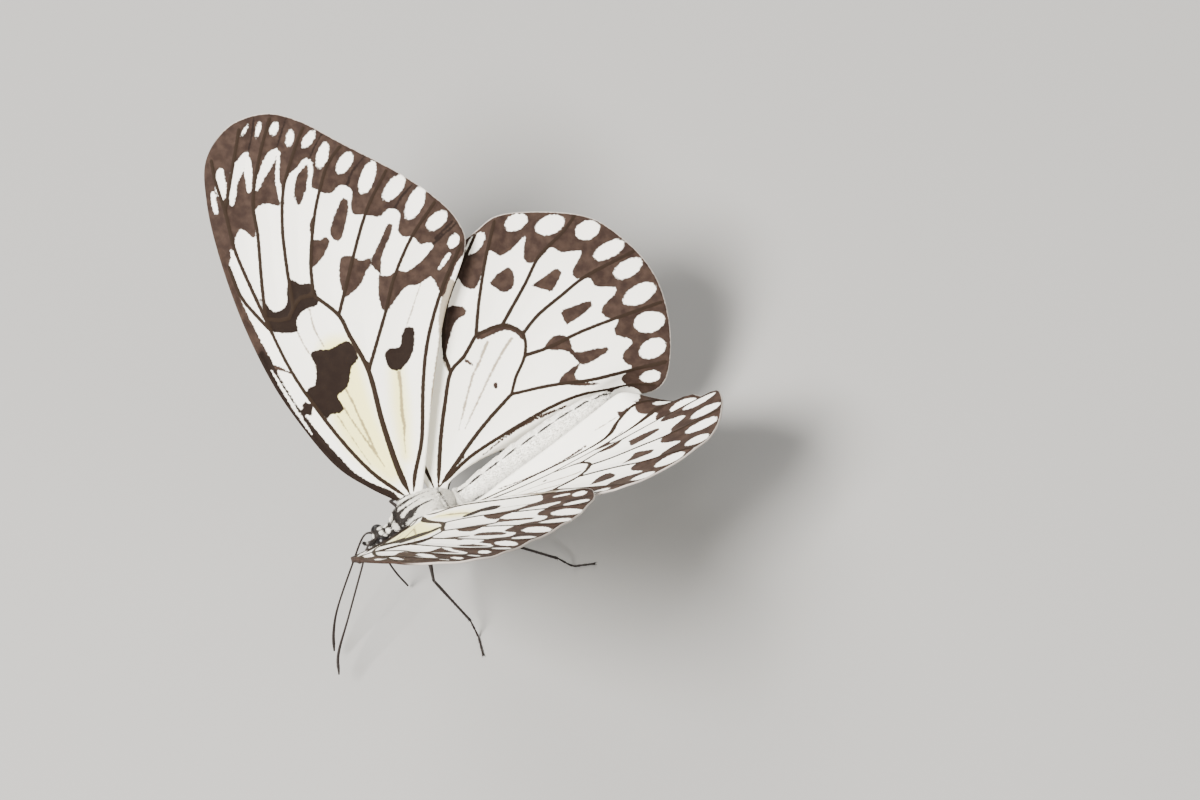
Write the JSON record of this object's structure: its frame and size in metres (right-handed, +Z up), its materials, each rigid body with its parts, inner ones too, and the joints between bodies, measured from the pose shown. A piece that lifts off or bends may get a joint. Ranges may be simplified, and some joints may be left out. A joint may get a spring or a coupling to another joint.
{
  "type": "paper kite butterfly",
  "caption": "Life-size still model of a paper kite butterfly standing on its four walking legs, its pale, black-marked wings half raised.",
  "frame": {"origin": "middle of the bounding box's underside, on the floor the feet stand on", "axes": "+Z up; the head points along -Y; the butterfly's left side is +X"},
  "size_m": [0.103, 0.0762, 0.0667],
  "materials": {
    "wing": "matte",
    "pale_scales": "matte",
    "dark_scales": "matte",
    "eye": "gloss",
    "leg_and_feeler": "satin"
  },
  "bodies": {
    "root": {"abdomen": "pale_scales", "antenna_left": "leg_and_feeler", "antenna_right": "leg_and_feeler", "eye_left": "eye", "eye_right": "eye", "foreleg_left": "leg_and_feeler", "foreleg_right": "leg_and_feeler", "forewing_left": "wing", "forewing_right": "wing", "head": "dark_scales", "hind_leg_left": "leg_and_feeler", "hind_leg_right": "leg_and_feeler", "hindwing_left": "wing", "hindwing_right": "wing", "middle_leg_left": "leg_and_feeler", "middle_leg_right": "leg_and_feeler", "palp_left": "dark_scales", "palp_right": "dark_scales", "proboscis": "leg_and_feeler", "thorax": "dark_scales"}
  },
  "joints": []
}
